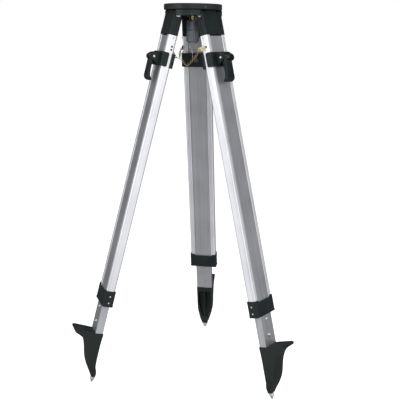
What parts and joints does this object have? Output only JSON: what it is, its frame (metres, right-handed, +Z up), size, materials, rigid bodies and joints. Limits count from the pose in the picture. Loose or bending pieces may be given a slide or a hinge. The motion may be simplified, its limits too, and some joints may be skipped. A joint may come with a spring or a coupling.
{
  "type": "surveyor tripod",
  "caption": "Aluminium surveying tripod with a round flat head, centre screw, telescoping legs with quick-clamp levers, and step-on pointed feet.",
  "frame": {"origin": "centre of the bounding box footprint, at the level of the floor the steel points stand on", "axes": "+Z up; +Y toward the back leg, away from the viewer of the picture; +X to the right"},
  "size_m": [0.628, 0.5438, 1.0613],
  "materials": {
    "black_casting": "black powder coat over a cast alloy",
    "steel": "zinc plated",
    "chain": "plated links",
    "brass": "bare, slightly dulled",
    "black_plastic": "black glass-filled nylon, lightly textured",
    "aluminium": "satin anodised extrusion"
  },
  "bodies": {
    "head": {"head_plate": "black_casting", "arm_pivot": "steel", "chain_ring": "chain", "chain_back": "chain", "chain_left": "chain", "chain_right": "chain", "hinge_bolt_back": "steel", "hinge_nut_back": "steel", "hinge_bolt_right": "steel", "hinge_nut_right": "steel", "hinge_bolt_left": "steel", "hinge_nut_left": "steel"},
    "arm": {"screw_arm": "black_casting"},
    "carriage": {"screw_bushing": "brass"},
    "screw": {"centre_screw": "brass", "screw_knob": "black_plastic", "plumb_hook": "steel"},
    "upper_leg_back": {"hinge_bracket_back": "black_plastic", "rail_back_a": "aluminium", "rail_back_b": "aluminium", "guide_band_back": "black_plastic"},
    "lower_leg_back": {"slide_tube_back": "aluminium", "foot_back": "black_casting", "foot_point_back": "steel", "foot_bolt_back_upper": "steel", "foot_bolt_back_lower": "steel", "clamp_block_back": "black_plastic", "clamp_plate_back": "black_plastic", "lever_pin_back": "steel", "clamp_bolt_back": "steel"},
    "lever_back": {"clamp_lever_back": "black_plastic"},
    "upper_leg_right": {"hinge_bracket_right": "black_plastic", "rail_right_a": "aluminium", "rail_right_b": "aluminium", "guide_band_right": "black_plastic"},
    "lower_leg_right": {"slide_tube_right": "aluminium", "foot_right": "black_casting", "foot_point_right": "steel", "foot_bolt_right_upper": "steel", "foot_bolt_right_lower": "steel", "clamp_block_right": "black_plastic", "clamp_plate_right": "black_plastic", "lever_pin_right": "steel", "clamp_bolt_right": "steel"},
    "lever_right": {"clamp_lever_right": "black_plastic"},
    "upper_leg_left": {"hinge_bracket_left": "black_plastic", "rail_left_a": "aluminium", "rail_left_b": "aluminium", "guide_band_left": "black_plastic"},
    "lower_leg_left": {"slide_tube_left": "aluminium", "foot_left": "black_casting", "foot_point_left": "steel", "foot_bolt_left_upper": "steel", "foot_bolt_left_lower": "steel", "clamp_block_left": "black_plastic", "clamp_plate_left": "black_plastic", "lever_pin_left": "steel", "clamp_bolt_left": "steel"},
    "lever_left": {"clamp_lever_left": "black_plastic"}
  },
  "joints": [
    {"name": "back_leg_splay", "type": "hinge", "parent": "head", "child": "upper_leg_back", "pos_m": [0, -0.02272, 1.03477], "axis": [1, 0, 0], "range_deg": [-14.5, 7], "deforming": ["chain_back"]},
    {"name": "back_leg_extend", "type": "slide", "parent": "upper_leg_back", "child": "lower_leg_back", "axis": [0, 0.2504, -0.9681], "range_m": [0, 0.57]},
    {"name": "back_clamp_lever", "type": "hinge", "parent": "lower_leg_back", "child": "lever_back", "pos_m": [0, 0.04074, 0.92517], "axis": [1, 0, 0], "range_deg": [0, 100]},
    {"name": "right_leg_splay", "type": "hinge", "parent": "head", "child": "upper_leg_right", "pos_m": [0.04633, -0.10297, 1.03477], "axis": [-0.5, -0.866, 0], "range_deg": [-14.5, 7], "deforming": ["chain_right"]},
    {"name": "right_leg_extend", "type": "slide", "parent": "upper_leg_right", "child": "lower_leg_right", "axis": [0.2168, -0.1252, -0.9681], "range_m": [0, 0.57]},
    {"name": "right_clamp_lever", "type": "hinge", "parent": "lower_leg_right", "child": "lever_right", "pos_m": [0.10129, -0.1347, 0.92517], "axis": [-0.5, -0.866, 0], "range_deg": [0, 100]},
    {"name": "left_leg_splay", "type": "hinge", "parent": "head", "child": "upper_leg_left", "pos_m": [-0.04633, -0.10297, 1.03477], "axis": [-0.5, 0.866, 0], "range_deg": [-14.5, 7], "deforming": ["chain_left"]},
    {"name": "left_leg_extend", "type": "slide", "parent": "upper_leg_left", "child": "lower_leg_left", "axis": [-0.2168, -0.1252, -0.9681], "range_m": [0, 0.57]},
    {"name": "left_clamp_lever", "type": "hinge", "parent": "lower_leg_left", "child": "lever_left", "pos_m": [-0.10129, -0.1347, 0.92517], "axis": [-0.5, 0.866, 0], "range_deg": [0, 100]},
    {"name": "arm_swing", "type": "hinge", "parent": "head", "child": "arm", "pos_m": [0.04157, -0.05222, 1.03477], "axis": [0, 0, 1], "range_deg": [-15, 15]},
    {"name": "screw_travel", "type": "slide", "parent": "arm", "child": "carriage", "axis": [-0.866, -0.5, 0], "range_m": [-0.014, 0.014]},
    {"name": "screw_turn", "type": "hinge", "parent": "carriage", "child": "screw", "pos_m": [0, -0.07622, 1.03477], "axis": [0, 0, 1], "continuous": true}
  ]
}
